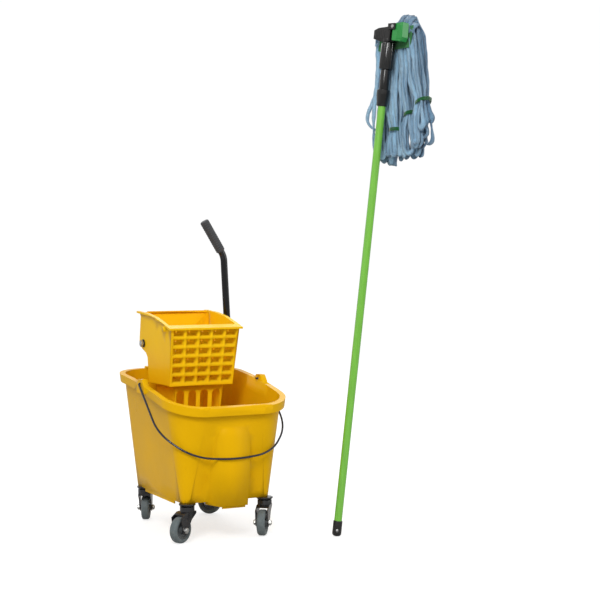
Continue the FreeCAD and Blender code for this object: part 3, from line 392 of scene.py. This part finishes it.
def setStage():
    reach, low = studio["reach"], -studio["under"]
    mesh = bpy.data.meshes.new("floor")
    mesh.from_pydata([(-reach, -reach, low), (reach, -reach, low), (reach, reach, low), (-reach, reach, low)],
                     [], [[0, 1, 2, 3]])
    floor = bpy.data.objects.new("floor", mesh)
    paper = Finish("floorPaper", studio["floor"], 0.8, Specular_IOR_Level=0.1,
                   Emission_Strength=studio["glow"])
    # the paper glows for the camera alone, so the pieces mirror a greyer floor
    paper.feed(Emission_Color=paper.make("LightPath"))
    mesh.materials.append(paper.material)
    bpy.context.scene.collection.objects.link(floor)
    world = bpy.data.worlds.new("studio")
    world.use_nodes = True
    sky = world.node_tree.nodes["Background"]
    sky.inputs["Color"].default_value = (1, 1, 1, 1)
    # the camera sees a white backdrop, while the pieces are lit by a dimmer sky
    seen = world.node_tree.nodes.new("ShaderNodeLightPath")
    level = world.node_tree.nodes.new("ShaderNodeMapRange")
    level.inputs["To Min"].default_value = studio["world"]
    level.inputs["To Max"].default_value = studio["backdrop"]
    world.node_tree.links.new(seen.outputs["Is Camera Ray"], level.inputs["Value"])
    world.node_tree.links.new(level.outputs["Result"], sky.inputs["Strength"])
    bpy.context.scene.world = world
    for name, (place, width, power) in studio["lamps"].items():
        lamp = bpy.data.lights.new(name, "AREA")
        lamp.size = width
        lamp.energy = power
        stand = bpy.data.objects.new(name, lamp)
        stand.location = place
        aim = Vector(studio["aim"]) - Vector(place)
        stand.rotation_euler = aim.to_track_quat("-Z", "Y").to_euler()
        bpy.context.scene.collection.objects.link(stand)


setStage()
print("stage set")


roundedEdges = {
    "bail": 0, "lever_tube": 0.0003, "lever_hub": 0.0012, "lever_shaft": 0.0006, "shaft_nuts": 0.0006,
    "crank_arm_left": 0.0008, "crank_arm_right": 0.0008, "drive_pin_left": 0.0006, "drive_pin_right": 0.0006,
    "handle_butt_cap": 0.0008, "mop_handle": 0, "jaw_pin": 0.0004,
    "bucket_shell": 0, "wringer_housing": 0, "press_plate": 0, "clamp_body": 0.0015, "clamp_jaw": 0.0012}
for corner in ("front_left", "front_right", "rear_left", "rear_right"):
    roundedEdges.update({f"castor_{corner}_top_plate": 0.001, f"castor_{corner}_fork": 0.0012,
                         f"castor_{corner}_hub": 0.0008, f"castor_{corner}_tyre": 0.0016,
                         f"castor_{corner}_axle": 0.0006})
for name, width in roundedEdges.items():
    refine(name, width)
for name in ("handle_collar", "clamp_neck", "clamp_nut"):
    refine(name, 0.0012, "neck_black")
print("hard pieces refined")


alongMop = np.array(joints["mop_lift"]["axis"], float)
behindMop = -np.array(joints["jaw_hinge"]["axis"], float)
acrossMop = np.cross(behindMop, alongMop)
jawPivot = np.array(joints["jaw_hinge"]["pos_m"], float)
jawReach = {"across": 0.028, "up": 1.489}
mopFoot = jawPivot - jawReach["across"] * acrossMop - jawReach["up"] * alongMop


# millimetres across, behind and up the clamp, to places in the frame
def onMop(points):
    points = np.asarray(points, float) / 1000
    return mopFoot + points @ np.vstack([acrossMop, behindMop, alongMop])


yarn = {
    "seed": 11, "width": 17.5, "thick": 6.5, "sides": 10, "samples": 150,
    # how far the strands reach across at the crown, and how far each end drifts across as it falls
    "span": (-68, 58), "spread": (40, 118),
    # for each layer: how far behind the clamp it hangs, how much lower its crown is, and its number of loops
    "layers": {"front": (33, 13, 10), "middle": (48, 6, 11), "back": (63, 0, 11)},
    "crown": [(-80, 1466), (-50, 1488), (-10, 1511), (20, 1528), (40, 1526), (56, 1512), (68, 1490)],
    # gathered tails: middle, half width and height of the band (none for the loose one), and lowest loops
    "tails": [(-14, 16, None, 1094), (30, 29, 1196, 1106), (76, 15, 1241, 1112), (120, 19, 1277, 1140)],
    "sway": 5.0, "flare": 34.0, "fall": 400.0, "halfLoop": (6.5, 10.0), "gather": 0.85, "bandDepth": 46,
    "stitched": (25, 1474), "jitter": 3, "spare": 30,
    # the outer loops of the right tail are shorter, by a rate beyond a place across the clamp
    "lifted": (116, 2.0),
}


# one looped strand: up from the headband, over the crown, down a swaying line that is drawn in at its
# tail band, round a small half circle and back up beside itself
def strandLoop(top, layer, drop, tail, dice):
    behind, lower, _ = yarn["layers"][layer]
    crownAt = np.interp(top, *np.array(yarn["crown"], float).T) - lower
    spread = np.interp(top, yarn["span"], yarn["spread"])
    heights = np.linspace(crownAt - 34, drop + 10, 11)
    fall = (crownAt - heights) / yarn["fall"]
    half = dice.uniform(*yarn["halfLoop"])
    stitchDepth, stitchAt = yarn["stitched"]
    legs = []
    middle, reach, bandAt, _ = yarn["tails"][tail]
    for side in (-1, 1):
        phase = dice.uniform(0, 2 * math.pi, 2)
        across = top + side * half * 0.8 + spread * fall
        across += yarn["sway"] * fall ** 0.5 * np.sin(phase[0] + fall * dice.uniform(5, 9))
        depth = behind + dice.uniform(-5, 5) + 5 * fall ** 0.5 * np.sin(phase[1] + fall * 6)
        if bandAt:
            pull = np.exp(-((heights - bandAt) / yarn["flare"]) ** 2)
            wanted = middle + np.clip((across - middle) * 0.55, -reach * 0.8, reach * 0.8)
            across += (wanted - across) * pull * yarn["gather"]
            depth += (yarn["bandDepth"] - depth) * pull * 0.35
        start = np.array([[top + side * half * 0.7, stitchDepth, stitchAt],
                          [top + side * half * 0.7, stitchDepth + 1, crownAt - 16],
                          [top + side * half * 0.75, (behind + stitchDepth + 1) / 2 + 2, crownAt],
                          [top + side * half * 0.8, behind, crownAt - 14]])
        legs.append(np.vstack([start, np.stack([across, depth, heights], axis=1)]))
    low = np.array([(legs[0][-1] + legs[1][-1]) / 2])
    low[0, 2] -= half + 4
    return np.vstack([legs[0], low, legs[1][::-1]])


# the one loop that has sprung out of the hank beside the collar
def strayLoop():
    return [(-66, 26, 1470), (-68, 30, 1480), (-70, 38, 1474), (-62, 40, 1420), (-56, 38, 1360),
            (-56, 36, 1322), (-76, 36, 1284), (-98, 38, 1244), (-95, 40, 1216), (-66, 44, 1196),
            (-30, 52, 1190), (-12, 56, 1222), (-16, 58, 1300), (-34, 60, 1400), (-52, 58, 1460)]


# a strand's skin: a flattened ring of points carried along its path, turned slowly about it
def strandSkin(path, phase, width, thick):
    count, sides = len(path), yarn["sides"]
    along = np.gradient(path, axis=0)
    along /= np.linalg.norm(along, axis=1)[:, None]
    side = np.cross(along, behindMop)
    side /= np.linalg.norm(side, axis=1)[:, None] + 1e-9
    face = np.cross(side, along)
    run = np.concatenate([[0], np.cumsum(np.linalg.norm(np.diff(path, axis=0), axis=1))])
    twist = (phase + 0.75 * np.sin(run * 14 + phase * 2) + 0.4 * np.sin(run * 31 + phase))[:, None]
    wide = side * np.cos(twist) + face * np.sin(twist)
    flat = face * np.cos(twist) - side * np.sin(twist)
    angle = np.linspace(0, 2 * math.pi, sides, endpoint=False)
    swell = (1 + 0.10 * np.sin(run * 95 + phase) + 0.06 * np.sin(run * 230 + 3 * phase))[:, None]
    roundish = np.sign(np.cos(angle)) * np.abs(np.cos(angle)) ** 0.8
    ring = (wide[:, None, :] * (roundish * width / 2)[None, :, None]
            + flat[:, None, :] * (np.sin(angle) * thick / 2)[None, :, None])
    points = path[:, None, :] + ring * swell[:, :, None]
    uv = np.stack([np.tile(angle / (2 * math.pi), (count, 1)), np.tile(run[:, None], (1, sides))], axis=-1)
    return points.reshape(-1, 3), uv.reshape(-1, 2)


def makeYarn():
    dice = np.random.default_rng(yarn["seed"])
    for layer, (behind, lower, count) in yarn["layers"].items():
        paths, points, uvs, tonesAndPaintedShades, quads, start = [], [], [], [], [], 0
        for top in np.linspace(*yarn["span"], count):
            top = top + dice.uniform(-yarn["jitter"], yarn["jitter"])
            spot = top + np.interp(top, yarn["span"], yarn["spread"]) * 0.72
            tail = int(np.argmin([abs(spot - middle) / reach for middle, reach, _, _ in yarn["tails"]]))
            edge, rate = yarn["lifted"]
            drop = yarn["tails"][tail][3] + dice.uniform(0, yarn["spare"]) + max(0, spot - edge) * rate
            paths.append(strandLoop(top, layer, drop, tail, dice))
        if layer == "front":
            paths.append(strayLoop())
        for path in paths:
            line = throughPoints(onMop(path), yarn["samples"])
            width = yarn["width"] * dice.uniform(0.85, 1.15) / 1000
            skin, uv = strandSkin(line, dice.uniform(-0.6, 0.6), width, yarn["thick"] / 1000)
            points.append(skin)
            uvs.append(uv)
            # painted shade: darker for the deeper layers, and towards both edges of a tape, over a random tone for
            # each strand
            tone = dice.uniform(0.0, 0.22) + 0.2 * (behind - 33) / 15
            tonesAndPaintedShades.append(np.clip(tone + 0.42 * np.abs(np.cos(uv[:, 0] * 2 * math.pi)) ** 3, 0, 1))
            quads.append(gridQuads(len(line), yarn["sides"], wrapColumns=True, start=start))
            start += len(skin)
        buildMesh(f"yarn.{layer}", np.vstack(points), np.vstack(quads)[:, ::-1], finishes["yarn_blue"], "mop",
                  np.vstack(uvs), np.concatenate(tonesAndPaintedShades))
    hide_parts("mop_yarn")


makeYarn()


# a stitched band round a gathered tail: a flattened ring with a rounded rectangular section, tilted a little
def makeTailBands():
    shape = {"height": 11.0, "thick": 2.4, "around": 72, "section": 12, "deep": 24.0,
             "tilts": [3.0, 24.0, 26.0]}
    tails = [tail for tail in yarn["tails"] if tail[2]]
    around = np.linspace(0, 2 * math.pi, shape["around"], endpoint=False)
    section = np.linspace(0, 2 * math.pi, shape["section"], endpoint=False)
    offset = np.sign(np.cos(section)) * np.abs(np.cos(section)) ** 0.5 * shape["thick"] / 2
    rise = np.sign(np.sin(section)) * np.abs(np.sin(section)) ** 0.5 * shape["height"] / 2
    points, uvs, quads = [], [], []
    for number, (middle, reach, height, _) in enumerate(tails):
        wide, deep = reach + 1.0, shape["deep"]
        ripple = 1 + 0.02 * np.sin(9 * around + number)
        ringAcross = wide * np.cos(around) * ripple
        ringBehind = deep * np.sin(around) * ripple
        across = middle + ringAcross[:, None] + np.cos(around)[:, None] * offset
        behind = 48 + ringBehind[:, None] + np.sin(around)[:, None] * offset
        tilt = math.tan(math.radians(shape["tilts"][number]))
        up = height + rise[None, :] + (across - middle) * tilt
        grid = onMop(np.stack([across, behind, up], axis=-1).reshape(-1, 3))
        uv = np.stack(np.meshgrid(around * wide / 1000, section / (2 * math.pi), indexing="ij"), axis=-1)
        quads.append(gridQuads(shape["around"], shape["section"], True, True, start=len(grid) * number))
        points.append(grid)
        uvs.append(uv.reshape(-1, 2)[:, ::-1])
    piece = buildMesh("tailBands", np.vstack(points), np.vstack(quads), finishes["tail_green"], "mop",
                      np.vstack(uvs), np.zeros(len(points) * len(points[0])))
    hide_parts("tail_bands")


makeTailBands()


# upright grip ribs: round bars half sunk in the face behind them, whose radius closes like a quarter circle
# at both ends
def makeRibs(name, ribs, body, slot):
    rings, sides = 14, 12
    angle = np.linspace(0, 2 * math.pi, sides, endpoint=False)
    grids, quads = [], []
    for across, behind, low, high, radius in ribs:
        up = low + (high - low) * (1 - np.cos(np.linspace(0.06, math.pi - 0.06, rings))) / 2
        fromEnd = np.clip(np.minimum(up - low, high - up) / radius, 0, 1)
        swell = radius * np.sqrt(1 - (1 - fromEnd) ** 2)
        grid = np.stack([across + swell[:, None] * np.cos(angle),
                         behind + 0.8 * swell[:, None] * np.sin(angle),
                         np.repeat(up[:, None], sides, axis=1)], axis=-1)
        first = sum(len(part) for part in grids)
        quads.append(gridQuads(rings, sides, True, start=first))
        grids.append(onMop(grid.reshape(-1, 3)))
    buildMesh(name, np.vstack(grids), np.vstack(quads), finishes[slot], body)


makeRibs("jawRibs", [(across, -12.8, 1453 - 0.06 * across, 1494 + 0.03 * across, 1.9)
                     for across in np.linspace(44, 60, 4)], "clamp_jaw", "fitting_green")
makeRibs("clampRibs", [(across, -14.0, 1452 - 0.1 * across, 1482 + 0.03 * across, 1.5)
                       for across in np.linspace(-44, -8, 6)], "mop", "clamp_black")
print("mop head made")


# closely wound torsion springs: a helix about the lever's shaft, with a round wire carried along it
def makeSprings():
    coil = {"turns": 6, "radius": 0.0092, "wire": 0.0013, "steps": 220, "sides": 8}
    turn = np.linspace(0, 2 * math.pi * coil["turns"], coil["steps"])
    angle = np.linspace(0, 2 * math.pi, coil["sides"], endpoint=False)
    for side in ("left", "right"):
        low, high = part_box(f"return_spring_{side}")
        middle = (np.array(low) + np.array(high)) / 2
        radial = np.stack([np.zeros_like(turn), np.cos(turn), np.sin(turn)], axis=1)
        run = np.linspace(low[0] + 0.002, high[0] - 0.002, coil["steps"])
        path = middle + radial * coil["radius"]
        path[:, 0] = run
        outward = radial[:, None, :] * np.cos(angle)[None, :, None]
        sideways = np.array([1.0, 0, 0])[None, None, :] * np.sin(angle)[None, :, None]
        points = path[:, None, :] + (outward + sideways) * coil["wire"]
        piece = buildMesh(f"spring.{side}", points, gridQuads(coil["steps"], coil["sides"], True)[:, ::-1],
                          finishes["spring_steel"], "wringer")
        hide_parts(f"return_spring_{side}")


makeSprings()


# the hand grip: a radius that closes at both ends, with rounded rings in between, turned about the lever's
# end
def makeGrip():
    grip = {"rings": 15, "groove": 0.0011, "samples": 260, "sides": 56, "radius": 0.0147,
            "chamfer": 0.006, "tip": 0.0002}
    tube = np.array([v.co for v in nodes["lever_grip"].data.vertices], float)
    middle = tube.mean(axis=0)
    spread = np.linalg.svd(tube - middle, full_matrices=False)[2]
    axis = spread[0] if spread[0][2] > 0 else -spread[0]
    reach = (tube - middle) @ axis
    foot = middle + axis * reach.min()
    length = reach.max() - reach.min()
    share = np.linspace(0, 1, grip["samples"])
    taper = np.clip(np.minimum(share, 1 - share) * length / grip["chamfer"], 0, 1)
    body = grip["radius"] * (1 - 0.38 * (1 - np.sqrt(1 - (1 - taper) ** 2)))
    ribbed = np.clip((0.5 - np.abs(share - 0.5)) * 14, 0, 1)
    wave = np.abs(np.sin(math.pi * grip["rings"] * share)) ** 0.6
    radius = body - grip["groove"] * (1 - wave) * ribbed
    radius[-1] = grip["tip"]
    sideways = np.cross(axis, [0.0, 1.0, 0.0])
    sideways /= np.linalg.norm(sideways)
    other = np.cross(axis, sideways)
    angle = np.linspace(0, 2 * math.pi, grip["sides"], endpoint=False)
    circle = np.cos(angle)[:, None] * sideways + np.sin(angle)[:, None] * other
    points = foot + axis * (share * length)[:, None, None] + circle[None] * radius[:, None, None]
    piece = buildMesh("gripRubber", points, gridQuads(grip["samples"], grip["sides"], True),
                      finishes["grip_grey"], "lever")
    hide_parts("lever_grip")


makeGrip()
print("springs and grip made")
